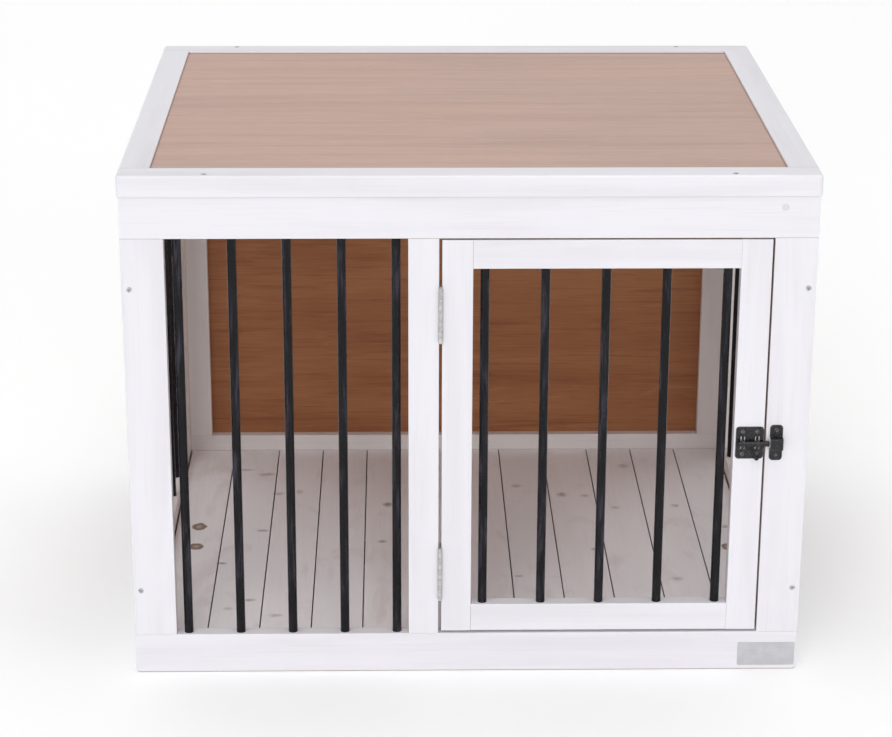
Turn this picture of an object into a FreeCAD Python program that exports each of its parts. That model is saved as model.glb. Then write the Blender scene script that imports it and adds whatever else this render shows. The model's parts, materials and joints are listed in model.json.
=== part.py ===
"""A furniture-style dog crate: painted pine frames with round steel bars, a plank floor, a veneered lid and a barred door.

Millimetres, +Z up, +X to the right of the front. The origin is on the ground under the centre of the crate's box.
The front faces -Y. Each piece is a separate solid in its own STEP file, and identical bars or screws share one file.
"""

import FreeCAD, Part
import os

from FreeCAD import Vector

# ---- driving dimensions ----

BODY_WIDTH = 900.0
BODY_DEPTH = 750.0
CRATE_HEIGHT = 700.0
TIMBER = 20.0            # thickness of every frame member
FRAME_MEMBER = 56.0      # width of the posts, stiles and rails
ARRIS = 1.0              # rounding on the long edges of the timber
FOOT_ROUNDING = 5.0      # on the lower corners of the front and back bottom rails

LID_THICKNESS = 28.0
LID_MEMBER = 40.0        # width of the lid's rails
LID_OVERHANG = 2.0
LID_EDGE_ROUNDING = 3.0
LID_CORNER_ROUNDING = 6.0  # on the lid's four upright corners
LID_RECESS = 4.0         # top of the lid panel below the top of the rails
PANEL = 6.0              # thickness of the plywood in the lid and the back
GROOVE = 8.0             # how far the plywood enters the timber
PANEL_PLAY = 0.5         # space left at the edges of the plywood, and above the lid panel in its groove

MIDDLE_POST = 40.0
DOOR_OPENING = 433.5
DOOR_STILE = 40.0
DOOR_RAIL = 39.0
GAP_HINGE = 4.0
GAP_LATCH = 2.6
GAP_TOP = 2.0
GAP_BOTTOM = 4.0

BAR_RADIUS = 6.0
BAR_HOLE_PLAY = 0.2
BAR_DEPTH = 12.0         # how far a bar enters the rail at each end
FRONT_BARS = 5
FRONT_BAR_PITCH = 70.7
DOOR_BARS = 5
DOOR_BAR_PITCH = 78.9
SIDE_BARS = 8
SIDE_BAR_PITCH = 76.4

BACK_STILE = 55.0
BACK_BOTTOM_RAIL = 60.0

FLOOR_TOP = 34.0
FLOOR_BOARD = 15.0
FLOOR_BOARDS = 12
FLOOR_GAP = 1.5          # between two boards
FLOOR_SIDE_GAP = 2.2     # between the outer boards and the side frames
BATTEN_WIDTH = 40.0
BATTENS = 3

SCREW_HEAD_RADIUS = 4.0
SCREW_SHANK_RADIUS = 2.0
SCREW_LENGTH = 45.0
POST_SCREW_HEIGHTS = (121.5, 548.0)
LID_SCREW_X = 340.0
LID_SCREW_INSET = 8.0    # from the front and back faces of the frames
SMALL_HEAD_RADIUS = 2.6
SMALL_SHANK_RADIUS = 1.3
SMALL_SCREW_LENGTH = 14.0
SMALL_SCREW_RIM = 0.3    # cylindrical edge of a screw's head, above its cone

HINGE_LENGTH = 75.0
HINGE_HEIGHTS = (145.0, 512.5)
LEAF_THICKNESS = 1.5
LEAF_DEPTH = 17.0        # how far a leaf reaches back into the door gap
KNUCKLES = 5
KNUCKLE_RADIUS = 2.8
KNUCKLE_GAP = 0.3
PIN_RADIUS = 1.25
PIN_PLAY = 0.05
PIN_HEAD_RADIUS = 2.2
PIN_HEAD = 0.9

LATCH_HEIGHT = 333.0     # the bolt's axis above the ground
LATCH_SHEET = 1.2
LATCH_PLATE_WIDTH = 37.0
LATCH_PLATE_HEIGHT = 45.0
LATCH_CORNER = 4.5
LATCH_EDGE = 0.4         # from the plate to the door's edge
BOLT_RADIUS = 3.75
BOLT_LENGTH = 42.0
BOLT_PLAY = 0.3
BOLT_SHORT_OF_KEEPER = 0.8
STRAP_WIDTH = 3.0
STRAP_CENTRES = (9.3, 28.6)   # from the plate's hinge-side edge
SLIT_WIDTH = 1.6
SLIT_NEAR = 2.5          # where a slit starts and ends above and below the bolt's axis
SLIT_FAR = 9.0
HANDLE_REACH = 20.5      # from the bolt's axis to the centre of the ball
HANDLE_LEAN = 10.0       # how far the ball stands towards the keeper from the collar
HANDLE_FROM_PLATE = 18.1  # the collar's centre from the plate's hinge-side edge
HANDLE_RADIUS = 1.8
HANDLE_NECK_RADIUS = 1.4  # where the handle passes between the walls of the bolt's groove
BALL_RADIUS = 3.2
COLLAR_WIDTH = 5.2
COLLAR_INNER_RADIUS = 2.65
COLLAR_PLAY = 0.05
KEEPER_LEFT = 399.2
KEEPER_WIDTH = 17.0
KEEPER_HALF_HEIGHT = 24.8
KEEPER_SHEET = 1.3
BRIDGE_HALF_FOOT = 9.3
BRIDGE_HALF_CROWN = 7.8
BRIDGE_RISE = 10.6       # the crown of the keeper above the front face

NAME_PLATE_WIDTH = 77.7
NAME_PLATE_HEIGHT = 33.6
NAME_PLATE_THICKNESS = 0.8
NAME_PLATE_CORNER = 1.5
NAME_PLATE_EDGE = 2.6    # from the plate to the crate's side
NAME_PLATE_FOOT = 6.0    # from the plate to the ground

# ---- planes that the pieces share ----

# The crate's box reaches from the keeper's crown in front to the lid's overhang behind, and is centred on the origin.
FRONT = (BRIDGE_RISE - BODY_DEPTH - LID_OVERHANG) / 2
BACK = FRONT + BODY_DEPTH
FRONT_INNER = FRONT + TIMBER
BACK_INNER = BACK - TIMBER
SIDE = BODY_WIDTH / 2
SIDE_INNER = SIDE - TIMBER
LID_BOTTOM = CRATE_HEIGHT - LID_THICKNESS
TOP_RAIL_BOTTOM = LID_BOTTOM - FRAME_MEMBER
POST_INNER = SIDE - FRAME_MEMBER
MIDDLE_RIGHT = POST_INNER - DOOR_OPENING
MIDDLE_LEFT = MIDDLE_RIGHT - MIDDLE_POST
DOOR_LEFT = MIDDLE_RIGHT + GAP_HINGE
DOOR_RIGHT = POST_INNER - GAP_LATCH
DOOR_BOTTOM = FRAME_MEMBER + GAP_BOTTOM
DOOR_TOP = TOP_RAIL_BOTTOM - GAP_TOP
HINGE_X = (MIDDLE_RIGHT + DOOR_LEFT) / 2
HINGE_Y = FRONT - KNUCKLE_RADIUS
BOLT_Y = FRONT - LATCH_SHEET - BOLT_PLAY - BOLT_RADIUS
LATCH_PLATE_LEFT = DOOR_RIGHT - LATCH_EDGE - LATCH_PLATE_WIDTH

X_AXIS = Vector(1, 0, 0)
Y_AXIS = Vector(0, 1, 0)
Z_AXIS = Vector(0, 0, 1)

nodes = {}


# ---- shapes used more than once ----

def block(x_range, y_range, z_range):
    size = [high - low for low, high in (x_range, y_range, z_range)]
    return Part.makeBox(*size, Vector(x_range[0], y_range[0], z_range[0]))


def edges_along(shape, axis):
    """The straight edges of a shape that run along an axis."""
    found = []
    for edge in shape.Edges:
        run = edge.Vertexes[-1].Point - edge.Vertexes[0].Point
        if run.Length > 0 and abs(run.normalize().dot(axis)) > 0.999:
            found.append(edge)
    return found


def timber(x_range, y_range, z_range, axis):
    """A planed board with square ends, its long edges slightly rounded."""
    board = block(x_range, y_range, z_range)
    return board.makeFillet(ARRIS, edges_along(board, axis))


def footed_rail(x_range, y_range, z_range):
    """A bottom rail across the crate, the lower corners of its ends rounded off."""
    rail = block(x_range, y_range, z_range)
    rail = rail.makeFillet(FOOT_ROUNDING, [e for e in edges_along(rail, Y_AXIS) if e.CenterOfMass.z < 1])
    return rail.makeFillet(ARRIS, edges_along(rail, X_AXIS))


def row(centre, pitch, count):
    """Evenly spaced places, centred on one value."""
    return [centre + pitch * (i - (count - 1) / 2) for i in range(count)]


def upright_bars(places, z_low, z_high, play=0.0):
    """Round upright bars at (x, y) places. With play they are the holes that the bars stand in."""
    height = z_high - z_low
    bars = [Part.makeCylinder(BAR_RADIUS + play, height, Vector(x, y, z_low)) for x, y in places]
    return Part.makeCompound(bars)


def screw(tip_direction, head_centre, head_radius, shank_radius, length):
    """A countersunk screw with a cross recess. head_centre is on its flat top."""
    cone_depth = head_radius - shank_radius
    rim = Part.makeCylinder(head_radius, SMALL_SCREW_RIM)
    cone = Part.makeCone(head_radius, shank_radius, cone_depth, Vector(0, 0, SMALL_SCREW_RIM))
    shank_start = SMALL_SCREW_RIM + cone_depth
    point_length = 3 * shank_radius
    shank = Part.makeCylinder(shank_radius, length - shank_start - point_length, Vector(0, 0, shank_start))
    point = Part.makeCone(shank_radius, 0.2 * shank_radius, point_length, Vector(0, 0, length - point_length))
    body = rim.fuse([cone, shank, point]).removeSplitter()
    arm = 0.62 * head_radius
    half_slot = 0.17 * head_radius
    depth = 0.4 * head_radius
    slots = [block((-arm, arm), (-half_slot, half_slot), (0, depth)),
             block((-half_slot, half_slot), (-arm, arm), (0, depth))]
    turn = FreeCAD.Rotation(Z_AXIS, tip_direction)
    place = FreeCAD.Placement(head_centre, turn)
    solid = body.cut(slots[0].fuse(slots[1]))
    for shape in (solid, body):
        shape.Placement = place
    return solid, body


def screw_group(tip_direction, head_centres, head_radius, shank_radius, length):
    """Identical screws as one compound, and the holes that they make."""
    made = [screw(tip_direction, c, head_radius, shank_radius, length) for c in head_centres]
    return Part.makeCompound([solid for solid, _ in made]), Part.makeCompound([body for _, body in made])


def cut(names, *tools):
    """Cuts holes in nodes that are already made."""
    for name in names:
        for tool in tools:
            nodes[name] = nodes[name].cut(tool)


# ---- the front frame ----

def make_front_frame():
    across = (-SIDE, SIDE)
    thick = (FRONT, FRONT_INNER)
    between = (FRAME_MEMBER, TOP_RAIL_BOTTOM)
    nodes["front_bottom_rail"] = footed_rail(across, thick, (0, FRAME_MEMBER))
    nodes["front_top_rail"] = timber(across, thick, (TOP_RAIL_BOTTOM, LID_BOTTOM), X_AXIS)
    nodes["front_post_left"] = timber((-SIDE, -POST_INNER), thick, between, Z_AXIS)
    nodes["front_post_middle"] = timber((MIDDLE_LEFT, MIDDLE_RIGHT), thick, between, Z_AXIS)
    nodes["front_post_right"] = timber((POST_INNER, SIDE), thick, between, Z_AXIS)
    bay_centre = (MIDDLE_LEFT - POST_INNER) / 2
    places = [(x, FRONT + TIMBER / 2) for x in row(bay_centre, FRONT_BAR_PITCH, FRONT_BARS)]
    ends = (FRAME_MEMBER - BAR_DEPTH, TOP_RAIL_BOTTOM + BAR_DEPTH)
    nodes["front_bars"] = upright_bars(places, *ends)
    cut(["front_bottom_rail", "front_top_rail"], upright_bars(places, *ends, BAR_HOLE_PLAY))


# ---- the side frames, between the front and back frames ----

def make_side_frame(name, outward):
    thick = tuple(sorted((outward * SIDE_INNER, outward * SIDE)))
    along = (FRONT_INNER, BACK_INNER)
    between = (FRAME_MEMBER, TOP_RAIL_BOTTOM)
    nodes[f"{name}_bottom_rail"] = timber(thick, along, (0, FRAME_MEMBER), Y_AXIS)
    nodes[f"{name}_top_rail"] = timber(thick, along, (TOP_RAIL_BOTTOM, LID_BOTTOM), Y_AXIS)
    nodes[f"{name}_front_stile"] = timber(thick, (FRONT_INNER, FRONT_INNER + FRAME_MEMBER), between, Z_AXIS)
    nodes[f"{name}_back_stile"] = timber(thick, (BACK_INNER - FRAME_MEMBER, BACK_INNER), between, Z_AXIS)
    x = outward * (SIDE - TIMBER / 2)
    places = [(x, y) for y in row((FRONT + BACK) / 2, SIDE_BAR_PITCH, SIDE_BARS)]
    ends = (FRAME_MEMBER - BAR_DEPTH, TOP_RAIL_BOTTOM + BAR_DEPTH)
    nodes[f"{name}_bars"] = upright_bars(places, *ends)
    cut([f"{name}_bottom_rail", f"{name}_top_rail"], upright_bars(places, *ends, BAR_HOLE_PLAY))


# ---- the back frame and its plywood panel ----

def make_back_frame():
    across = (-SIDE, SIDE)
    thick = (BACK_INNER, BACK)
    between = (BACK_BOTTOM_RAIL, TOP_RAIL_BOTTOM)
    stile_inner = SIDE - BACK_STILE
    nodes["back_bottom_rail"] = footed_rail(across, thick, (0, BACK_BOTTOM_RAIL))
    nodes["back_top_rail"] = timber(across, thick, (TOP_RAIL_BOTTOM, LID_BOTTOM), X_AXIS)
    nodes["back_stile_left"] = timber((-SIDE, -stile_inner), thick, between, Z_AXIS)
    nodes["back_stile_right"] = timber((stile_inner, SIDE), thick, between, Z_AXIS)
    rebate = block((-stile_inner - GROOVE, stile_inner + GROOVE), (BACK - PANEL, BACK + 1),
                   (BACK_BOTTOM_RAIL - GROOVE, TOP_RAIL_BOTTOM + GROOVE))
    cut(["back_bottom_rail", "back_top_rail", "back_stile_left", "back_stile_right"], rebate)
    reach = GROOVE - PANEL_PLAY
    nodes["back_panel"] = block((-stile_inner - reach, stile_inner + reach), (BACK - PANEL, BACK),
                                (BACK_BOTTOM_RAIL - reach, TOP_RAIL_BOTTOM + reach))


# ---- the plank floor on its battens ----

def make_floor():
    room = 2 * (SIDE_INNER - FLOOR_SIDE_GAP)
    width = (room - FLOOR_GAP * (FLOOR_BOARDS - 1)) / FLOOR_BOARDS
    underside = FLOOR_TOP - FLOOR_BOARD
    for i, x in enumerate(row(0.0, width + FLOOR_GAP, FLOOR_BOARDS), start=1):
        nodes[f"floor_board_{i:02d}"] = timber((x - width / 2, x + width / 2), (FRONT_INNER, BACK_INNER),
                                               (underside, FLOOR_TOP), Y_AXIS)
    spread = (BACK_INNER - FRONT_INNER - BATTEN_WIDTH) / (BATTENS - 1)
    half = BATTEN_WIDTH / 2
    battens = [timber((-SIDE_INNER, SIDE_INNER), (y - half, y + half), (0, underside), X_AXIS)
               for y in row((FRONT_INNER + BACK_INNER) / 2, spread, BATTENS)]
    nodes["floor_battens"] = Part.makeCompound(battens)


# ---- the lid ----

def lid_rail(x_range, y_range, axis, on_outer_side):
    """A rail of the lid. on_outer_side tells whether a point is on the rail's outer face."""
    rail = block(x_range, y_range, (LID_BOTTOM, CRATE_HEIGHT))
    if axis == X_AXIS:
        lid_corners = [e for e in edges_along(rail, Z_AXIS) if on_outer_side(e.CenterOfMass)]
        rail = rail.makeFillet(LID_CORNER_ROUNDING, lid_corners)
    top_outer = [e for e in edges_along(rail, axis)
                 if on_outer_side(e.CenterOfMass) and e.CenterOfMass.z > CRATE_HEIGHT - 1]
    rail = rail.makeFillet(LID_EDGE_ROUNDING, top_outer)
    rest = [e for e in edges_along(rail, axis) if is_square_corner(e, rail)]
    return rail.makeFillet(ARRIS, rest)


def is_square_corner(edge, shape):
    """True for an edge on two planes of the shape's box, so for one that isn't rounded yet."""
    box = shape.BoundBox
    point = edge.CenterOfMass
    at_x = min(abs(point.x - box.XMin), abs(point.x - box.XMax)) < 0.01
    at_y = min(abs(point.y - box.YMin), abs(point.y - box.YMax)) < 0.01
    at_z = min(abs(point.z - box.ZMin), abs(point.z - box.ZMax)) < 0.01
    return at_z and (at_x or at_y)


def make_lid():
    side = SIDE + LID_OVERHANG
    front = FRONT - LID_OVERHANG
    back = BACK + LID_OVERHANG
    inner_side = side - LID_MEMBER
    inner_front = front + LID_MEMBER
    inner_back = back - LID_MEMBER
    nodes["lid_front_rail"] = lid_rail((-side, side), (front, inner_front), X_AXIS, lambda p: p.y < front + 1)
    nodes["lid_back_rail"] = lid_rail((-side, side), (inner_back, back), X_AXIS, lambda p: p.y > back - 1)
    nodes["lid_left_rail"] = lid_rail((-side, -inner_side), (inner_front, inner_back), Y_AXIS,
                                      lambda p: p.x < 1 - side)
    nodes["lid_right_rail"] = lid_rail((inner_side, side), (inner_front, inner_back), Y_AXIS,
                                       lambda p: p.x > side - 1)
    panel_top = CRATE_HEIGHT - LID_RECESS
    rails = ["lid_front_rail", "lid_back_rail", "lid_left_rail", "lid_right_rail"]
    cut(rails, block((-inner_side - GROOVE, inner_side + GROOVE), (inner_front - GROOVE, inner_back + GROOVE),
                     (panel_top - PANEL, panel_top + PANEL_PLAY)))
    reach = GROOVE - PANEL_PLAY
    nodes["lid_panel"] = block((-inner_side - reach, inner_side + reach), (inner_front - reach, inner_back + reach),
                               (panel_top - PANEL, panel_top))


# ---- the door ----

def make_door():
    thick = (FRONT, FRONT_INNER)
    inner = (DOOR_LEFT + DOOR_STILE, DOOR_RIGHT - DOOR_STILE)
    nodes["door_hinge_stile"] = timber((DOOR_LEFT, inner[0]), thick, (DOOR_BOTTOM, DOOR_TOP), Z_AXIS)
    nodes["door_latch_stile"] = timber((inner[1], DOOR_RIGHT), thick, (DOOR_BOTTOM, DOOR_TOP), Z_AXIS)
    nodes["door_bottom_rail"] = timber(inner, thick, (DOOR_BOTTOM, DOOR_BOTTOM + DOOR_RAIL), X_AXIS)
    nodes["door_top_rail"] = timber(inner, thick, (DOOR_TOP - DOOR_RAIL, DOOR_TOP), X_AXIS)
    places = [(x, FRONT + TIMBER / 2) for x in row(sum(inner) / 2, DOOR_BAR_PITCH, DOOR_BARS)]
    ends = (DOOR_BOTTOM + DOOR_RAIL - BAR_DEPTH, DOOR_TOP - DOOR_RAIL + BAR_DEPTH)
    nodes["door_bars"] = upright_bars(places, *ends)
    cut(["door_bottom_rail", "door_top_rail"], upright_bars(places, *ends, BAR_HOLE_PLAY))


# ---- the two butt hinges ----

def hinge_leaf(middle, side, knuckles):
    """A leaf flat in the door gap. side is -1 on the post and 1 on the door; knuckles are the ones it carries."""
    low = middle - HINGE_LENGTH / 2
    step = HINGE_LENGTH / KNUCKLES
    gap_side = HINGE_X + side * (GAP_HINGE / 2 - LEAF_THICKNESS)
    wood_side = HINGE_X + side * GAP_HINGE / 2
    x_range = tuple(sorted((gap_side, wood_side)))
    leaf = block(x_range, (HINGE_Y, FRONT + LEAF_DEPTH), (low, low + HINGE_LENGTH))
    room = KNUCKLE_RADIUS + KNUCKLE_GAP
    for i in range(KNUCKLES):
        bottom = low + i * step
        if i in knuckles:
            barrel = Part.makeCylinder(KNUCKLE_RADIUS, step - KNUCKLE_GAP,
                                       Vector(HINGE_X, HINGE_Y, bottom + KNUCKLE_GAP / 2))
            leaf = leaf.fuse(barrel)
        else:
            notch = Part.makeCylinder(room, step + KNUCKLE_GAP,
                                      Vector(HINGE_X, HINGE_Y, bottom - KNUCKLE_GAP / 2))
            leaf = leaf.cut(notch)
    bore = Part.makeCylinder(PIN_RADIUS + PIN_PLAY, HINGE_LENGTH, Vector(HINGE_X, HINGE_Y, low))
    return leaf.cut(bore).removeSplitter()


def hinge_pin(middle):
    half = HINGE_LENGTH / 2
    pin = Part.makeCylinder(PIN_RADIUS, HINGE_LENGTH, Vector(HINGE_X, HINGE_Y, middle - half))
    heads = [Part.makeCylinder(PIN_HEAD_RADIUS, PIN_HEAD, Vector(HINGE_X, HINGE_Y, z))
             for z in (middle - half - PIN_HEAD, middle + half)]
    return pin.fuse(heads).removeSplitter()


def make_hinges():
    on_post = [i for i in range(KNUCKLES) if i % 2 == 0]
    on_door = [i for i in range(KNUCKLES) if i % 2 == 1]
    screw_places = [(FRONT + 0.6 * LEAF_DEPTH, middle + dz) for middle in HINGE_HEIGHTS
                    for dz in row(0.0, HINGE_LENGTH / 3, 3)]
    for name, middle in zip(("hinge_lower", "hinge_upper"), HINGE_HEIGHTS):
        nodes[f"{name}_post_leaf"] = hinge_leaf(middle, -1, on_post)
        nodes[f"{name}_door_leaf"] = hinge_leaf(middle, 1, on_door)
    nodes["hinge_pins"] = Part.makeCompound([hinge_pin(middle) for middle in HINGE_HEIGHTS])
    for name, side, wood in (("post", -1, "front_post_middle"), ("door", 1, "door_hinge_stile")):
        face = HINGE_X + side * (GAP_HINGE / 2 - LEAF_THICKNESS)
        solids, holes = screw_group(Vector(side, 0, 0), [Vector(face, y, z) for y, z in screw_places],
                                    SMALL_HEAD_RADIUS, SMALL_SHANK_RADIUS, SMALL_SCREW_LENGTH)
        nodes[f"hinge_screws_{name}"] = solids
        cut([wood, f"hinge_lower_{name}_leaf", f"hinge_upper_{name}_leaf"], holes)


# ---- the barrel bolt ----

def rounded_plate(x_range, z_range, y_range, radius):
    plate = block(x_range, y_range, z_range)
    return plate.makeFillet(radius, edges_along(plate, Y_AXIS))


def strap(x_low):
    """A strip pressed up from the plate into a loop over the bolt."""
    inner = BOLT_RADIUS + BOLT_PLAY
    outer = inner + LATCH_SHEET
    plate_face = FRONT - LATCH_SHEET

    def loop(radius, x, width):
        round_part = Part.makeCylinder(radius, width, Vector(x, BOLT_Y, LATCH_HEIGHT), X_AXIS)
        legs = block((x, x + width), (BOLT_Y, plate_face), (LATCH_HEIGHT - radius, LATCH_HEIGHT + radius))
        front_half = block((x, x + width), (BOLT_Y - radius, BOLT_Y),
                           (LATCH_HEIGHT - radius, LATCH_HEIGHT + radius))
        return round_part.common(front_half).fuse(legs)

    return loop(outer, x_low, STRAP_WIDTH).cut(loop(inner, x_low - 1, STRAP_WIDTH + 2))


def make_latch_plate():
    left = LATCH_PLATE_LEFT
    half = LATCH_PLATE_HEIGHT / 2
    plate = rounded_plate((left, left + LATCH_PLATE_WIDTH), (LATCH_HEIGHT - half, LATCH_HEIGHT + half),
                          (FRONT - LATCH_SHEET, FRONT), LATCH_CORNER)
    for centre in STRAP_CENTRES:
        x_low = left + centre - STRAP_WIDTH / 2
        plate = plate.fuse(strap(x_low))
        for slit_x in (x_low - SLIT_WIDTH, x_low + STRAP_WIDTH):
            for z_range in ((-SLIT_FAR, -SLIT_NEAR), (SLIT_NEAR, SLIT_FAR)):
                slit = block((slit_x, slit_x + SLIT_WIDTH), (FRONT - LATCH_SHEET, FRONT),
                             [LATCH_HEIGHT + z for z in z_range])
                plate = plate.cut(slit)
    nodes["latch_plate"] = plate.removeSplitter()
    screw_in = (9.0, 6.6)    # from the plate's sides, and from its top and bottom
    places = [Vector(x, FRONT - LATCH_SHEET, z)
              for x in (left + screw_in[0], left + LATCH_PLATE_WIDTH - screw_in[0])
              for z in (LATCH_HEIGHT - half + screw_in[1], LATCH_HEIGHT + half - screw_in[1])]
    nodes["latch_screws"], holes = screw_group(Y_AXIS, places, SMALL_HEAD_RADIUS, SMALL_SHANK_RADIUS,
                                               SMALL_SCREW_LENGTH)
    cut(["latch_plate", "door_latch_stile"], holes)


def make_bolt():
    """The round bolt, and the handle on a collar that turns in a groove in it."""
    tip = KEEPER_LEFT - BOLT_SHORT_OF_KEEPER
    start = tip - BOLT_LENGTH
    tip_rounding = 1.2
    bolt = Part.makeCylinder(BOLT_RADIUS, BOLT_LENGTH, Vector(start, BOLT_Y, LATCH_HEIGHT), X_AXIS)
    bolt = bolt.makeFillet(tip_rounding, [e for e in bolt.Edges if e.Curve.TypeId == "Part::GeomCircle"])
    collar_x = LATCH_PLATE_LEFT + HANDLE_FROM_PLATE - COLLAR_WIDTH / 2

    def ring(inner, outer, x, width):
        place = Vector(x, BOLT_Y, LATCH_HEIGHT)
        outside = Part.makeCylinder(outer, width, place, X_AXIS)
        return outside.cut(Part.makeCylinder(inner, width, place, X_AXIS))

    groove = ring(COLLAR_INNER_RADIUS - COLLAR_PLAY, BOLT_RADIUS + 1, collar_x - COLLAR_PLAY,
                  COLLAR_WIDTH + 2 * COLLAR_PLAY)
    nodes["latch_bolt"] = bolt.cut(groove)
    collar = ring(COLLAR_INNER_RADIUS, BOLT_RADIUS - COLLAR_PLAY, collar_x, COLLAR_WIDTH)
    root = Vector(collar_x + COLLAR_WIDTH / 2, BOLT_Y, LATCH_HEIGHT)
    ball_centre = root + Vector(HANDLE_LEAN, 0, -HANDLE_REACH)
    neck_length = BOLT_RADIUS + BOLT_PLAY + HANDLE_RADIUS
    elbow = root - Vector(0, 0, neck_length)
    neck = Part.makeCylinder(HANDLE_NECK_RADIUS, neck_length, root, -Z_AXIS)
    neck = neck.cut(Part.makeCylinder(COLLAR_INNER_RADIUS, COLLAR_WIDTH, Vector(collar_x, BOLT_Y, LATCH_HEIGHT),
                                      X_AXIS))
    run = ball_centre - elbow
    arm = Part.makeCylinder(HANDLE_RADIUS, run.Length, elbow, run)
    ends = [Part.makeSphere(HANDLE_RADIUS, elbow), Part.makeSphere(BALL_RADIUS, ball_centre)]
    nodes["latch_handle"] = collar.fuse([neck, arm] + ends).removeSplitter()


def make_keeper():
    """A hat-shaped bridge between two ears, screwed to the right post."""
    x_range = (KEEPER_LEFT, KEEPER_LEFT + KEEPER_WIDTH)
    ears = rounded_plate(x_range, (LATCH_HEIGHT - KEEPER_HALF_HEIGHT, LATCH_HEIGHT + KEEPER_HALF_HEIGHT),
                         (FRONT - KEEPER_SHEET, FRONT), LATCH_CORNER)

    def hat(half_foot, half_crown, rise, x, width):
        outline = [(FRONT, -half_foot), (FRONT - rise, -half_crown), (FRONT - rise, half_crown),
                   (FRONT, half_foot)]
        points = [Vector(x, y, LATCH_HEIGHT + z) for y, z in outline]
        face = Part.Face(Part.makePolygon(points + points[:1]))
        return face.extrude(Vector(width, 0, 0))

    outside = hat(BRIDGE_HALF_FOOT, BRIDGE_HALF_CROWN, BRIDGE_RISE, KEEPER_LEFT, KEEPER_WIDTH)
    outside = outside.makeFillet(ARRIS, [e for e in edges_along(outside, X_AXIS)
                                         if e.CenterOfMass.y < FRONT - BRIDGE_RISE / 2])
    inside = hat(BRIDGE_HALF_FOOT - KEEPER_SHEET, BRIDGE_HALF_CROWN - KEEPER_SHEET,
                 BRIDGE_RISE - KEEPER_SHEET, KEEPER_LEFT - 1, KEEPER_WIDTH + 2)
    nodes["latch_keeper"] = ears.fuse(outside).cut(inside).removeSplitter()
    screw_offset = 18.0
    centre_x = KEEPER_LEFT + KEEPER_WIDTH / 2
    places = [Vector(centre_x, FRONT - KEEPER_SHEET, LATCH_HEIGHT + z) for z in (-screw_offset, screw_offset)]
    nodes["keeper_screws"], holes = screw_group(Y_AXIS, places, SMALL_HEAD_RADIUS, SMALL_SHANK_RADIUS,
                                                SMALL_SCREW_LENGTH)
    cut(["latch_keeper", "front_post_right"], holes)


# ---- the long screws and the name plate ----

def make_frame_screws():
    """Through the front posts and back stiles into the side frames, and through the lid into the rails below."""
    x = SIDE - TIMBER / 2
    long_screw = (SCREW_HEAD_RADIUS, SCREW_SHANK_RADIUS, SCREW_LENGTH)
    groups = {
        "front": (Y_AXIS, [Vector(s * x, FRONT, z) for s in (-1, 1) for z in POST_SCREW_HEIGHTS]),
        "back": (-Y_AXIS, [Vector(s * x, BACK, z) for s in (-1, 1) for z in POST_SCREW_HEIGHTS]),
        "lid": (-Z_AXIS, [Vector(s * LID_SCREW_X, y, CRATE_HEIGHT) for s in (-1, 1)
                          for y in (FRONT + LID_SCREW_INSET, BACK - LID_SCREW_INSET)]),
    }
    cut_by = {
        "front": ["front_post_left", "front_post_right", "side_left_front_stile", "side_right_front_stile"],
        "back": ["back_stile_left", "back_stile_right", "side_left_back_stile", "side_right_back_stile"],
        "lid": ["lid_front_rail", "lid_back_rail", "front_top_rail", "back_top_rail"],
    }
    solids = []
    for name, (direction, places) in groups.items():
        group, holes = screw_group(direction, places, *long_screw)
        solids += group.Solids
        cut(cut_by[name], holes)
    nodes["frame_screws"] = Part.makeCompound(solids)


def make_name_plate():
    right = SIDE - NAME_PLATE_EDGE
    nodes["name_plate"] = rounded_plate((right - NAME_PLATE_WIDTH, right),
                                        (NAME_PLATE_FOOT, NAME_PLATE_FOOT + NAME_PLATE_HEIGHT),
                                        (FRONT - NAME_PLATE_THICKNESS, FRONT), NAME_PLATE_CORNER)


make_front_frame()
make_side_frame("side_left", -1)
make_side_frame("side_right", 1)
make_back_frame()
make_floor()
make_lid()
make_door()
make_hinges()
make_latch_plate()
make_bolt()
make_keeper()
make_frame_screws()
make_name_plate()

os.makedirs("parts", exist_ok=True)
for node_name, node_shape in nodes.items():
    node_shape.exportStep(f"parts/{node_name}.step")
print(len(nodes), "nodes written")
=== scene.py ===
import json
import math

import bmesh
import bpy
from mathutils import Matrix, Vector


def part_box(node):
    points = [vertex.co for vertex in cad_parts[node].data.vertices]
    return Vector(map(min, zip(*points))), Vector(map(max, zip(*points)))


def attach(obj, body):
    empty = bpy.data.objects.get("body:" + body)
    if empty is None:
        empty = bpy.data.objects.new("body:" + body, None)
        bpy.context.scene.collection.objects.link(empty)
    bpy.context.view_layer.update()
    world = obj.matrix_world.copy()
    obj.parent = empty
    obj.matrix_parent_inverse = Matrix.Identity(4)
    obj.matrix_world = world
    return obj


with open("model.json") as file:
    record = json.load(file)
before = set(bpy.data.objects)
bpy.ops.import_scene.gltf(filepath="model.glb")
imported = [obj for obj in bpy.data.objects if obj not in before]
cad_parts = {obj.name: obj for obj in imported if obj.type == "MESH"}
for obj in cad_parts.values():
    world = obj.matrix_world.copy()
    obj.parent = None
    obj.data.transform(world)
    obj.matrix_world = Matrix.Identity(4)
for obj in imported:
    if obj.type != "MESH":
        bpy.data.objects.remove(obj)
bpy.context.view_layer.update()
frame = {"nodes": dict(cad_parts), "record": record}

NODES = frame["nodes"]

# ---- colours, linear ----

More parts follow.
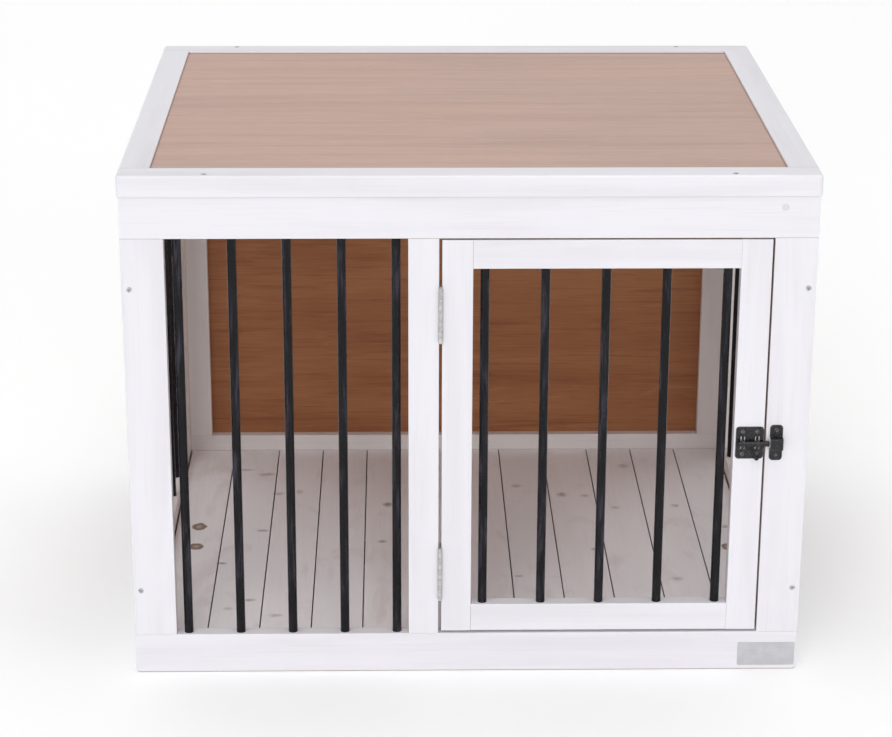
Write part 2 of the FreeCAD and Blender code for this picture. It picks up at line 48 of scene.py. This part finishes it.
# White paint, thick outside and thin inside, and what shows through it. The inside colours are warmer and lighter:
# partly the thinner paint, and partly painted warm bounce light from the plywood and a painted brighter inside.
WHITE_LIGHT = (0.76, 0.748, 0.79, 1.0)
WHITE_DARK = (0.70, 0.686, 0.725, 1.0)
THIN_BOUNCE_LIT_LIGHT = (0.83, 0.775, 0.76, 1.0)
THIN_BOUNCE_LIT_DARK = (0.765, 0.705, 0.685, 1.0)
WHITE_GRAIN = (0.61, 0.588, 0.61, 1.0)
WHITE_KNOT = (0.62, 0.56, 0.55, 1.0)
WHITE_WORN = (0.64, 0.60, 0.585, 1.0)
# The colour of unpainted pine, also used for the shade painted into the timber's gaps and joints.
BARE_PINE_AND_SHADE = (0.50, 0.37, 0.27, 1.0)

# Washed pine floor.
FLOOR_LIGHT = (0.935, 0.905, 0.925, 1.0)
FLOOR_DARK = (0.91, 0.87, 0.88, 1.0)
FLOOR_GRAIN = (0.74, 0.685, 0.69, 1.0)
FLOOR_STAIN = (0.66, 0.575, 0.555, 1.0)
FLOOR_TINT = (0.89, 0.88, 0.915, 1.0)
# FLOOR_KNOT is also the colour of the shade painted into the floor's gaps.
FLOOR_KNOT = (0.20, 0.13, 0.10, 1.0)
OPEN_KNOT = (0.30, 0.19, 0.135, 1.0)
KNOT_HEART = (0.56, 0.475, 0.42, 1.0)

# Lid veneer.
VENEER_LIGHT = (0.54, 0.375, 0.317, 1.0)
VENEER_GREY = (0.495, 0.36, 0.312, 1.0)
VENEER_DARK = (0.46, 0.315, 0.268, 1.0)
VENEER_LINE = (0.40, 0.26, 0.215, 1.0)
VENEER_PORE = (0.72, 0.56, 0.49, 1.0)

# Back plywood.
PLY_LIGHT = (0.40, 0.165, 0.07, 1.0)
PLY_DARK = (0.33, 0.125, 0.052, 1.0)
PLY_LINE = (0.17, 0.058, 0.026, 1.0)
PLY_PALE = (0.50, 0.25, 0.125, 1.0)

# Black bars, the barrel bolt and its screws.
BAR_DARK = (0.002, 0.0016, 0.003, 1.0)
BAR_LIGHT = (0.032, 0.028, 0.041, 1.0)
LATCH_DARK = (0.005, 0.0045, 0.006, 1.0)
LATCH_LIGHT = (0.014, 0.0125, 0.015, 1.0)
LATCH_RUBBED = (0.24, 0.24, 0.25, 1.0)
HEAD_DARK = (0.03, 0.03, 0.034, 1.0)
HEAD_LIGHT = (0.10, 0.10, 0.108, 1.0)

# Hinges, screws and the blank plate.
# The near-black of the shade painted into the zinc's recesses.
ZINC_RECESS_SHADE = (0.05, 0.055, 0.065, 1.0)
ZINC_DARK = (0.42, 0.42, 0.43, 1.0)
ZINC_LIGHT = (0.62, 0.62, 0.63, 1.0)
SCREW_DARK = (0.46, 0.47, 0.50, 1.0)
SCREW_LIGHT = (0.68, 0.70, 0.74, 1.0)
LABEL_DARK = (0.47, 0.465, 0.49, 1.0)
LABEL_LIGHT = (0.53, 0.525, 0.55, 1.0)
LABEL_LINE = (0.40, 0.395, 0.42, 1.0)

# The studio: its paper floor, and its dim light from overhead.
PAPER_DARK = (0.955, 0.955, 0.955, 1.0)
PAPER_LIGHT = (0.97, 0.97, 0.97, 1.0)
OVERHEAD = (0.34, 0.34, 0.34, 1.0)
HORIZON = (1.0, 1.0, 1.0, 1.0)

# ---- measures, in metres ----

FLOOR_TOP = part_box("floor_board_01")[1][2]
SIDE_FACE, BACK_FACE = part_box("back_top_rail")[1][:2]
# CREVICE is also the reach of the shade painted into the colours in gaps and joints.
CREVICE = 0.004  # how far from a joint the timber's crevices darken
EASING = 0.0005  # on the edges of the timber that are still square
PLUG_PLACE = (0.405, 0.657)  # X and Z of the filled screw hole's centre
PLUG_RADIUS = 0.0047
STUDIO_FLOOR_HALF = 60.0
STUDIO_FLOOR_LEVEL = -0.0005

# Knots on the boards: x, y, half width, half length, and strength. At 1 the knot is open.
FLOOR_KNOTS = (
    (-0.394, 0.047, 0.0105, 0.013, 1.0), (-0.394, -0.027, 0.0105, 0.011, 1.0), (0.397, -0.036, 0.008, 0.012, 1.0),
    (-0.352, -0.088, 0.007, 0.004, 0.6), (-0.297, 0.031, 0.009, 0.004, 0.5), (-0.300, 0.255, 0.012, 0.006, 0.45),
    (-0.334, 0.274, 0.012, 0.004, 0.35), (-0.279, 0.175, 0.008, 0.005, 0.4), (-0.304, -0.215, 0.008, 0.004, 0.5),
    (-0.265, -0.266, 0.009, 0.005, 0.4), (-0.247, 0.182, 0.005, 0.008, 0.3), (-0.109, 0.130, 0.006, 0.008, 0.7),
    (-0.117, -0.011, 0.006, 0.005, 0.6), (0.093, 0.203, 0.007, 0.006, 0.4), (0.163, 0.167, 0.007, 0.008, 0.5),
    (0.198, 0.162, 0.006, 0.005, 0.4), (0.243, 0.114, 0.006, 0.005, 0.35), (0.269, 0.285, 0.008, 0.009, 0.35),
    (0.336, 0.121, 0.006, 0.005, 0.4), (0.403, 0.039, 0.005, 0.006, 0.5), (0.082, -0.138, 0.006, 0.004, 0.4),
    (0.198, -0.043, 0.004, 0.005, 0.4), (0.310, -0.149, 0.008, 0.006, 0.35), (-0.333, -0.243, 0.006, 0.005, 0.3),
)


# ---- node materials ----

class Shader:
    """A node material being put together round one Principled shader."""

    def __init__(self, name, **constants):
        self.material = bpy.data.materials.new(name)
        self.material.use_nodes = True
        self.tree = self.material.node_tree
        self.surface = self.tree.nodes["Principled BSDF"]
        for socket, value in constants.items():
            self.surface.inputs[socket.replace("_", " ")].default_value = value

    def add(self, kind, inputs=None, output=0, **settings):
        """Adds a node and returns one of its outputs. Inputs are given as sockets or as plain values."""
        node = self.tree.nodes.new("ShaderNode" + kind)
        for key, value in settings.items():
            setattr(node, key, value)
        for key, value in (inputs or {}).items():
            if isinstance(value, bpy.types.NodeSocket):
                self.tree.links.new(value, node.inputs[key])
            else:
                node.inputs[key].default_value = value
        return node.outputs[output]

    def math(self, operation, a, b=0.0):
        return self.add("Math", {0: a, 1: b}, operation=operation)

    def between(self, value, low, high, new_low=0.0, new_high=1.0):
        """Value taken smoothly from one range to another, and held at the ends."""
        return self.add("MapRange", {0: value, 1: low, 2: high, 3: new_low, 4: new_high},
                        interpolation_type="SMOOTHSTEP")

    def mix(self, share, a, b, blend="MIX"):
        return self.add("Mix", {0: share, 6: a, 7: b}, output=2, data_type="RGBA", blend_type=blend)

    def place(self, scale, spread=1.0):
        """Object coordinates times a scale for each axis, moved by an amount that differs from piece to piece."""
        coordinates = self.add("TexCoord", output="Object")
        chance = self.add("ObjectInfo", output="Random")
        step = self.add("VectorMath", {0: (31.0 * spread, 17.0 * spread, 23.0 * spread), 3: chance},
                        operation="SCALE")
        stretched = self.add("VectorMath", {0: coordinates, 1: scale}, operation="MULTIPLY")
        return self.add("VectorMath", {0: stretched, 1: step}, operation="ADD")

    def noise(self, vector, scale=1.0, detail=4.0, roughness=0.55, distortion=0.0):
        return self.add("TexNoise", {"Vector": vector, "Scale": scale, "Detail": detail, "Roughness": roughness,
                                     "Distortion": distortion})

    def bump(self, *layers):
        """Height layers as (height socket, strength, distance in metres), stacked."""
        normal = None
        for height, strength, distance in layers:
            inputs = {"Height": height, "Strength": strength, "Distance": distance}
            if normal is not None:
                inputs["Normal"] = normal
            normal = self.add("Bump", inputs)
        self.link("Normal", normal)

    def edges(self, radius):
        """About 1 on the shape's edges and 0 on its faces: how far a rounded normal leans from the true one."""
        rounded = self.add("Bevel", {"Radius": radius}, samples=6)
        true_normal = self.add("NewGeometry", output="Normal")
        agreement = self.add("VectorMath", {0: rounded, 1: true_normal}, output=1, operation="DOT_PRODUCT")
        return self.between(agreement, 0.99, 0.85)

    def outer_faces(self):
        """1 on the outer faces of the side and back frames, and 0 on the rest of them."""
        fade_from, fade_to = 0.0025, 0.0005  # depths under the outer face
        where = self.add("TexCoord", output="Object")
        x, y = (self.add("SeparateXYZ", {0: where}, output=i) for i in (0, 1))
        at_side = self.between(self.math("ABSOLUTE", x), SIDE_FACE - fade_from, SIDE_FACE - fade_to)
        at_back = self.between(y, BACK_FACE - fade_from, BACK_FACE - fade_to)
        return self.math("MAXIMUM", at_side, at_back)

    def crevices(self, reach):
        """About 1 deep in gaps and at the foot of walls nearer than reach metres, and 0 in the open: the ambient
        occlusion mask with which shade is painted into the colours.
        """
        openness = self.add("AmbientOcclusion", {"Distance": reach}, output="AO", samples=8)
        return self.between(openness, 0.8, 0.3)

    def link(self, socket, value):
        self.tree.links.new(value, self.surface.inputs[socket])


def grain_scale(axis, along, across):
    """A scale for each axis: small along the grain, large across it."""
    return tuple(along if i == axis else across for i in range(3))


def knots(shader, axis, along, across, share, radius):
    """Scattered knots: 0 between them and up to 1 in one. share is how many of the cells have a knot."""
    cells = shader.place(grain_scale(axis, along, across), spread=0.7)
    distance = shader.add("TexVoronoi", {"Vector": cells, "Scale": 1.0, "Randomness": 0.9}, output="Distance")
    chance = shader.add("SeparateColor", {0: distance.node.outputs["Color"]}, output=0)
    chosen = shader.between(chance, 1.0 - share, 1.0 - share + 0.02)
    spot = shader.between(distance, radius, 0.35 * radius)
    return shader.math("MULTIPLY", spot, chosen)


def lay_knots(shader, colour, places):
    """The colour with the floor's placed knots laid over it: soft dark spots, and open knots at strength 1."""
    where = shader.add("TexCoord", output="Object")
    ragged = shader.noise(shader.place((160.0, 160.0, 160.0)), detail=3.0)
    for x, y, half_width, half_length, strength in places:
        is_open = strength == 1
        offset = shader.add("VectorMath", {0: where, 1: (x, y, FLOOR_TOP)}, operation="SUBTRACT")
        shrink = (1 / half_width, 1 / half_length, 60.0)
        shaped = shader.add("VectorMath", {0: offset, 1: shrink}, operation="MULTIPLY")
        distance = shader.add("VectorMath", {0: shaped}, output=1, operation="LENGTH")
        raggedness = 0.12 if is_open else 0.3
        uneven = shader.math("ADD", distance, shader.between(ragged, 0.2, 0.8, -raggedness, raggedness))
        if is_open:
            rim = shader.mix(shader.between(uneven, 1.15, 0.95, 0.0, 0.85), colour, FLOOR_KNOT)
            heart = shader.mix(shader.between(uneven, 0.9, 0.7), rim, OPEN_KNOT)
            colour = shader.mix(shader.between(uneven, 0.65, 0.2, 0.0, 0.75), heart, KNOT_HEART)
        else:
            colour = shader.mix(shader.between(uneven, 1.6, 0.2, 0.0, strength), colour, FLOOR_KNOT)
    return colour


def painted_timber(name, axis, thin_bounce_lit_inside=False, pine_and_shade_in_crevices=0.8):
    """White paint on planed pine: grain and a few knots show through faintly, and the edges are rubbed.

    With thin_bounce_lit_inside the paint is warmer and lighter except on the crate's outer faces: partly thinner
    paint, and partly painted warm bounce light from the plywood and a painted brighter inside.
    pine_and_shade_in_crevices is how far unpainted pine and painted shade show in gaps and joints.
    """
    s = Shader(name, Specular_IOR_Level=0.35)
    broad = s.noise(s.place(grain_scale(axis, 1.6, 24.0)), detail=3.0, distortion=0.6)
    fine = s.noise(s.place(grain_scale(axis, 7.0, 320.0)), detail=3.0, roughness=0.6)
    coat = s.noise(s.place((14.0, 14.0, 14.0)), detail=5.0, roughness=0.6)
    knot = knots(s, axis, 3.4, 17.0, share=0.2, radius=0.14)
    worn = s.math("MULTIPLY", s.edges(0.0012), s.between(coat, 0.42, 0.62))
    light = WHITE_LIGHT
    banding = s.between(broad, 0.42, 0.74)
    paint = s.mix(banding, WHITE_LIGHT, WHITE_DARK)
    # Painted light: the inner faces take a warmer, lighter copy of the paint, partly thinner paint and partly
    # painted warm bounce light from the plywood.
    if thin_bounce_lit_inside:
        outer = s.outer_faces()
        light = s.mix(outer, THIN_BOUNCE_LIT_LIGHT, WHITE_LIGHT)
        paint = s.mix(outer, s.mix(banding, THIN_BOUNCE_LIT_LIGHT, THIN_BOUNCE_LIT_DARK), paint)
    streaked = s.mix(s.between(fine, 0.52, 0.78, 0.0, 0.28), paint, WHITE_GRAIN)
    patched = s.mix(s.between(coat, 0.45, 0.75, 0.0, 0.3), streaked, light)
    knotted = s.mix(s.between(knot, 0.0, 1.0, 0.0, 0.22), patched, WHITE_KNOT)
    rubbed = s.mix(s.between(worn, 0.0, 1.0, 0.0, 0.5), knotted, WHITE_WORN)
    # Painted shade and unpainted pine: the colour darkens towards pine brown in gaps and joints, partly the door's
    # unpainted edges and partly painted shade.
    bare_pine_and_shade = s.between(s.crevices(CREVICE), 0.0, 1.0, 0.0, pine_and_shade_in_crevices)
    s.link("Base Color", s.mix(bare_pine_and_shade, rubbed, BARE_PINE_AND_SHADE))
    s.link("Roughness", s.between(coat, 0.3, 0.7, 0.42, 0.56))
    s.bump((broad, 0.12, 0.0006), (fine, 0.25, 0.0002), (knot, 0.3, 0.0003), (coat, 0.08, 0.0004))
    return s.material


def washed_floor(name, axis, placed_knots=()):
    """Pine boards under a thin white wash: faint grain, soft stains, small dark knots, each board its own tint."""
    s = Shader(name, Specular_IOR_Level=0.3)
    broad = s.noise(s.place(grain_scale(axis, 1.3, 26.0)), detail=4.0, distortion=1.2)
    fine = s.noise(s.place(grain_scale(axis, 5.0, 420.0)), detail=4.0, roughness=0.65)
    cloud = s.noise(s.place((4.0, 4.0, 4.0)), detail=3.0)
    stains = s.noise(s.place((17.0, 8.0, 17.0)), detail=5.0, roughness=0.6, distortion=0.7)
    board = s.add("ObjectInfo", output="Random")
    wash = s.mix(s.between(broad, 0.35, 0.7), FLOOR_LIGHT, FLOOR_DARK)
    streaked = s.mix(s.between(fine, 0.5, 0.8, 0.0, 0.4), wash, FLOOR_GRAIN)
    tinted = s.mix(s.between(board, 0.0, 1.0, 0.0, 0.5), streaked, FLOOR_TINT)
    stained = s.mix(s.between(stains, 0.52, 0.72, 0.0, 0.34), tinted, FLOOR_STAIN)
    colour = s.mix(s.between(cloud, 0.5, 0.75, 0.0, 0.35), stained, FLOOR_LIGHT)
    worn = s.math("MULTIPLY", s.edges(0.001), s.between(broad, 0.4, 0.6))
    colour = s.mix(s.between(worn, 0.0, 1.0, 0.0, 0.5), colour, FLOOR_GRAIN)
    colour = lay_knots(s, colour, placed_knots)
    # Painted shade: the colour darkens towards knot brown in the gaps between boards and at the foot of walls.
    painted_crevice_shade = s.between(s.crevices(CREVICE), 0.0, 1.0, 0.0, 0.8)
    s.link("Base Color", s.mix(painted_crevice_shade, colour, FLOOR_KNOT))
    s.link("Roughness", s.between(broad, 0.3, 0.7, 0.5, 0.66))
    s.bump((broad, 0.2, 0.0006), (fine, 0.4, 0.0002))
    return s.material


def lid_veneer(name, axis):
    """Straight-grained pinkish veneer: greyer and redder drifts, fine lines and short pale pores, matt lacquer, and
    painted shade in the gap round the panel.
    """
    s = Shader(name, Specular_IOR_Level=0.25)
    drift = s.noise(s.place(grain_scale(axis, 1.6, 5.0)), detail=3.0, distortion=0.4)
    figure = s.noise(s.place(grain_scale(axis, 1.2, 30.0)), detail=4.0, distortion=0.7)
    lines = s.noise(s.place(grain_scale(axis, 4.0, 230.0)), detail=4.0, roughness=0.7, distortion=0.2)
    pores = s.noise(s.place(grain_scale(axis, 22.0, 520.0)), detail=3.0, roughness=0.6)
    ground = s.mix(s.between(drift, 0.35, 0.65), VENEER_LIGHT, VENEER_GREY)
    figured = s.mix(s.between(figure, 0.42, 0.72, 0.0, 0.7), ground, VENEER_DARK)
    lined = s.mix(s.between(lines, 0.48, 0.72, 0.0, 0.5), figured, VENEER_LINE)
    pored = s.mix(s.between(pores, 0.58, 0.72, 0.0, 0.55), lined, VENEER_PORE)
    # Painted shade: the colour darkens to the plywood's dark brown in the gap round the panel.
    s.link("Base Color", s.mix(s.between(s.crevices(0.006), 0.0, 1.0, 0.0, 0.8), pored, PLY_DARK))
    s.link("Roughness", s.between(lines, 0.3, 0.7, 0.5, 0.62))
    s.bump((lines, 0.12, 0.0002), (pores, 0.25, 0.0001))
    return s.material


def back_plywood(name, axis):
    """Reddish brown rotary-cut plywood: long soft bands, short dark lines, a few pale wavy ones and fine fibres."""
    s = Shader(name, Specular_IOR_Level=0.25)
    bands = s.noise(s.place(grain_scale(axis, 1.1, 9.0)), detail=4.0, distortion=0.9)
    streaks = s.noise(s.place(grain_scale(axis, 3.2, 60.0)), detail=4.0, roughness=0.6, distortion=0.7)
    lines = s.noise(s.place(grain_scale(axis, 9.0, 330.0)), detail=3.0, roughness=0.7)
    fibres = s.noise(s.place(grain_scale(axis, 14.0, 620.0)), detail=3.0, roughness=0.65)
    waves = s.noise(s.place(grain_scale(axis, 7.0, 44.0)), detail=4.0, roughness=0.6, distortion=1.6)
    ground = s.mix(s.between(bands, 0.36, 0.64), PLY_LIGHT, PLY_DARK)
    streaked = s.mix(s.between(streaks, 0.54, 0.72, 0.0, 0.5), ground, PLY_LINE)
    lined = s.mix(s.between(lines, 0.5, 0.72, 0.0, 0.5), streaked, PLY_LINE)
    waved = s.mix(s.between(waves, 0.62, 0.74, 0.0, 0.28), lined, PLY_PALE)
    s.link("Base Color", s.mix(s.between(fibres, 0.5, 0.7, 0.0, 0.3), waved, PLY_PALE))
    s.link("Roughness", s.between(lines, 0.3, 0.7, 0.45, 0.6))
    s.bump((streaks, 0.1, 0.0003), (lines, 0.2, 0.0002))
    return s.material


def bar_paint(name):
    """Black powder coat on round bar: lumpy, streaked and patchy along the bar, so that its highlights break up."""
    s = Shader(name, Specular_IOR_Level=0.22)
    streaks = s.noise(s.place((150.0, 150.0, 16.0)), detail=4.0, distortion=0.5)
    lumps = s.noise(s.place((90.0, 90.0, 24.0)), detail=3.0, distortion=0.6)
    grit = s.noise(s.place((900.0, 900.0, 900.0)), detail=2.0)
    patches = s.noise(s.place((70.0, 70.0, 11.0)), detail=3.0)
    coated = s.mix(s.between(streaks, 0.45, 0.66), BAR_DARK, BAR_LIGHT)
    s.link("Base Color", s.mix(s.between(patches, 0.42, 0.58, 0.8, 0.0), coated, BAR_DARK))
    s.link("Roughness", s.between(lumps, 0.35, 0.65, 0.1, 0.4))
    s.bump((lumps, 0.8, 0.0008), (grit, 0.12, 0.0001))
    return s.material


def zinc(name, dark, light, low_roughness, high_roughness):
    """Zinc plate: dull grey metal with a cloudy sheen, fine scratches and painted shade in its recesses."""
    s = Shader(name, Metallic=0.6)
    cloud = s.noise(s.place((160.0, 160.0, 160.0)), detail=4.0)
    scratches = s.noise(s.place((1500.0, 1500.0, 90.0)), detail=2.0)
    plated = s.mix(s.between(cloud, 0.35, 0.7), dark, light)
    # Painted shade: the colour darkens almost to black in screw slots and other recesses.
    s.link("Base Color", s.mix(s.crevices(0.0012), plated, ZINC_RECESS_SHADE))
    s.link("Roughness", s.between(cloud, 0.3, 0.7, low_roughness, high_roughness))
    s.bump((scratches, 0.15, 0.00008), (cloud, 0.1, 0.0001))
    return s.material


def hammered_black(name, dark, light, rubbing, dimpling=1.0):
    """Black hammered paint on steel, specked, and rubbed paler on its edges.

    rubbing is how far the steel shows on the edges, and dimpling how strong the hammering is.
    """
    s = Shader(name, Specular_IOR_Level=0.4)
    dimples = s.add("TexVoronoi", {"Vector": s.place((420.0, 420.0, 420.0)), "Scale": 1.0}, output="Distance",
                    feature="SMOOTH_F1")
    cloud = s.noise(s.place((180.0, 180.0, 180.0)), detail=4.0)
    rubbed = s.math("MULTIPLY", s.edges(0.0008), s.between(cloud, 0.4, 0.55))
    specks = s.noise(s.place((620.0, 620.0, 620.0)), detail=3.0, roughness=0.7)
    painted = s.mix(s.between(cloud, 0.4, 0.7), dark, light)
    speckled = s.mix(s.between(specks, 0.54, 0.66, 0.0, 0.24 * dimpling), painted, LATCH_RUBBED)
    s.link("Base Color", s.mix(s.between(rubbed, 0.0, 1.0, 0.0, rubbing), speckled, LATCH_RUBBED))
    s.link("Roughness", s.between(dimples, 0.0, 0.8, 0.1, 0.32))
    s.bump((dimples, dimpling, 0.0007), (cloud, 0.15, 0.0003))
    return s.material


def label_plate(name):
    """Blank matt grey label with a fine horizontal brushing."""
    s = Shader(name, Specular_IOR_Level=0.4)
    brushing = s.noise(s.place((30.0, 900.0, 1400.0)), detail=3.0)
    cloud = s.noise(s.place((60.0, 60.0, 60.0)), detail=3.0)
    ground = s.mix(s.between(cloud, 0.35, 0.7), LABEL_DARK, LABEL_LIGHT)
    s.link("Base Color", s.mix(s.between(brushing, 0.45, 0.7, 0.0, 0.3), ground, LABEL_LINE))
    s.link("Roughness", s.between(brushing, 0.3, 0.7, 0.38, 0.55))
    s.bump((brushing, 0.1, 0.00005))
    return s.material


def long_axis(node):
    low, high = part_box(node)
    return max(range(3), key=lambda i: high[i] - low[i])


def ease_ends(piece):
    """Slightly breaks the edges that are still square, so that butt joints show as fine grooves."""
    bevel = piece.modifiers.new("eased_ends", "BEVEL")
    bevel.width = EASING
    bevel.segments = 2
    bevel.limit_method = "ANGLE"
    bevel.angle_limit = math.radians(50.0)


def dress_cad_nodes():
    """Gives every CAD node its material, with the grain along the timber."""
    axes = range(3)
    white = [painted_timber(f"white_paint_{'xyz'[axis]}", axis) for axis in axes]
    # Lit copies of the white paint for the inner frames: thinner paint, with painted warm bounce light.
    thin_bounce_lit_white = [painted_timber(f"thin_bounce_lit_paint_{'xyz'[axis]}", axis, thin_bounce_lit_inside=True) for axis in axes]
    by_slot = {
        "floor_wood": washed_floor("floor_wood", 1, FLOOR_KNOTS),
        "lid_veneer": lid_veneer("lid_veneer", 0),
        "back_plywood": back_plywood("back_plywood", 0),
        "bar_paint": bar_paint("bar_paint"),
        "hinge_steel": zinc("hinge_steel", ZINC_DARK, ZINC_LIGHT, 0.3, 0.48),
        "screw_steel": zinc("screw_steel", SCREW_DARK, SCREW_LIGHT, 0.35, 0.55),
        "latch_paint": hammered_black("latch_paint", LATCH_DARK, LATCH_LIGHT, 0.7),
        "label_plate": label_plate("label_plate"),
    }
    smooth_black = hammered_black("bolt_paint", LATCH_DARK, LATCH_DARK, 0.35, dimpling=0.15)
    black_screws = hammered_black("black_screws", HEAD_DARK, HEAD_LIGHT, 0.9)
    by_node = {
        "door_latch_stile": painted_timber("latch_stile_paint", 2, pine_and_shade_in_crevices=0.1),
        "floor_battens": washed_floor("batten_wood", 0),
        "latch_bolt": smooth_black,
        "latch_handle": smooth_black,
        "latch_screws": black_screws,
        "keeper_screws": black_screws,
    }
    slots = {part["node"]: part["material_slot"] for part in frame["record"]["subparts"]}
    for node, piece in NODES.items():
        slot = slots[node]
        if node in by_node:
            material = by_node[node]
        elif slot == "white_paint":
            is_inner = node.startswith(("back_", "side_"))
            material = (thin_bounce_lit_white if is_inner else white)[long_axis(node)]
        else:
            material = by_slot[slot]
        if slot == "white_paint":
            ease_ends(piece)
        piece.data.materials.clear()
        piece.data.materials.append(material)


def filler(name):
    """Painted-over filler: matt white, a little greyer than the rail round it."""
    s = Shader(name, Specular_IOR_Level=0.3)
    coat = s.noise(s.place((90.0, 90.0, 90.0)), detail=4.0)
    s.link("Base Color", s.mix(s.between(coat, 0.35, 0.65), WHITE_GRAIN, WHITE_DARK))
    s.link("Roughness", s.between(coat, 0.3, 0.7, 0.5, 0.62))
    s.bump((coat, 0.3, 0.0002))
    return s.material


def make_rail_plug():
    """A filled and painted-over screw hole at the right of the front top rail: a shallow dished disc."""
    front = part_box("front_top_rail")[0][1]
    centre_x, centre_z = PLUG_PLACE
    rise, dish, bury, around = 0.00025, 0.00015, 0.0003, 40
    # Rings from the buried edge to the dished middle: share of the plug's radius, and depth behind the rail's face.
    rings = ((1.0, bury), (1.0, -0.6 * rise), (0.93, -rise), (0.7, -rise), (0.45, dish - rise))
    mesh = bmesh.new()
    loops = []
    for share, depth in rings:
        radius = share * PLUG_RADIUS
        loop = []
        for i in range(around):
            angle = 2 * math.pi * i / around
            place = (centre_x + radius * math.cos(angle), front + depth, centre_z + radius * math.sin(angle))
            loop.append(mesh.verts.new(place))
        loops.append(loop)
    for outer, inner in zip(loops, loops[1:]):
        for i in range(around):
            j = (i + 1) % around
            mesh.faces.new((outer[i], outer[j], inner[j], inner[i]))
    mesh.faces.new(loops[-1])
    mesh.faces.new(reversed(loops[0]))
    bmesh.ops.recalc_face_normals(mesh, faces=mesh.faces)
    data = bpy.data.meshes.new("rail_plug")
    mesh.to_mesh(data)
    mesh.free()
    data.materials.append(filler("filler"))
    plug = bpy.data.objects.new("rail_plug", data)
    bpy.context.scene.collection.objects.link(plug)
    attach(plug, "crate")


# ---- studio ----

def studio_paper(name):
    """Matt white paper with a hardly visible mottle."""
    s = Shader(name, Roughness=0.7, Specular_IOR_Level=0.2)
    mottle = s.noise(s.place((0.6, 0.6, 0.6)), detail=2.0)
    s.link("Base Color", s.mix(s.between(mottle, 0.3, 0.7), PAPER_DARK, PAPER_LIGHT))
    return s.material


def make_floor():
    size, level = STUDIO_FLOOR_HALF, STUDIO_FLOOR_LEVEL
    corners = [(-size, -size, level), (size, -size, level), (size, size, level), (-size, size, level)]
    mesh = bpy.data.meshes.new("studio_floor")
    mesh.from_pydata(corners, [], [(0, 1, 2, 3)])
    mesh.materials.append(studio_paper("studio_floor"))
    floor = bpy.data.objects.new("studio_floor", mesh)
    bpy.context.scene.collection.objects.link(floor)


def sun(name, azimuth, elevation, strength, softness):
    """A soft distant light. Azimuth 0 shines from the front, and 90 from the right; all angles in degrees."""
    light = bpy.data.lights.new(name, "SUN")
    light.energy = strength
    light.angle = math.radians(softness)
    lamp = bpy.data.objects.new(name, light)
    a, e = math.radians(azimuth), math.radians(elevation)
    towards = Vector((math.sin(a) * math.cos(e), -math.cos(a) * math.cos(e), math.sin(e)))
    lamp.rotation_euler = towards.to_track_quat("Z", "Y").to_euler()
    lamp.location = towards * 5.0
    bpy.context.scene.collection.objects.link(lamp)


def strip_light(name, place, aim, width, height, power):
    """A tall narrow softbox, for the highlights along the bars."""
    light = bpy.data.lights.new(name, "AREA")
    light.shape = "RECTANGLE"
    light.size = width
    light.size_y = height
    light.energy = power
    lamp = bpy.data.objects.new(name, light)
    lamp.location = place
    lamp.rotation_euler = (Vector(place) - Vector(aim)).to_track_quat("Z", "Y").to_euler()
    bpy.context.scene.collection.objects.link(lamp)


def make_world():
    """Even light, dim overhead and bright round the horizon, where it meets the floor."""
    world = bpy.data.worlds.new("studio")
    world.use_nodes = True
    tree = world.node_tree
    background = tree.nodes["Background"]
    background.inputs["Strength"].default_value = 0.97
    direction = tree.nodes.new("ShaderNodeTexCoord")
    parts = tree.nodes.new("ShaderNodeSeparateXYZ")
    fade = tree.nodes.new("ShaderNodeValToRGB")
    fade.color_ramp.interpolation = "EASE"
    low, high = fade.color_ramp.elements
    low.position, low.color = 0.10, HORIZON
    high.position, high.color = 0.24, OVERHEAD
    tree.links.new(direction.outputs["Generated"], parts.inputs[0])
    tree.links.new(parts.outputs["Z"], fade.inputs[0])
    tree.links.new(fade.outputs["Color"], background.inputs["Color"])
    bpy.context.scene.world = world


def make_lights():
    crate_middle = (0.0, -0.3, 0.35)
    sun("top_light", azimuth=180.0, elevation=84.0, strength=1.34, softness=70.0)
    sun("high_front_light", azimuth=-10.0, elevation=58.0, strength=0.45, softness=40.0)
    sun("front_light", azimuth=-8.0, elevation=30.0, strength=0.94, softness=40.0)
    strip_light("left_strip", (-2.7, -2.4, 1.1), crate_middle, width=0.3, height=2.0, power=6.0)
    strip_light("right_strip", (2.5, -2.6, 1.3), crate_middle, width=0.25, height=1.6, power=6.0)
    bpy.context.scene.view_settings.view_transform = "Standard"


def make_camera():
    """The viewpoint: above the crate's top, a little left of its middle, looking down on the front."""
    focal_length = 102.4
    place = (-0.0965, -3.4924, 1.5674)
    pitch, yaw, roll = (math.radians(v) for v in (19.876, 1.215, 0.235))
    data = bpy.data.cameras.new("camera")
    data.lens = focal_length
    data.sensor_width = 36.0
    data.clip_end = 60.0
    camera = bpy.data.objects.new("camera", data)
    turn = (Matrix.Rotation(-yaw, 4, "Z") @ Matrix.Rotation(math.pi / 2 - pitch, 4, "X")
            @ Matrix.Rotation(roll, 4, "Z"))
    camera.matrix_world = Matrix.Translation(place) @ turn
    bpy.context.scene.collection.objects.link(camera)
    bpy.context.scene.camera = camera


make_camera()
make_world()
make_lights()
make_floor()
dress_cad_nodes()
make_rail_plug()
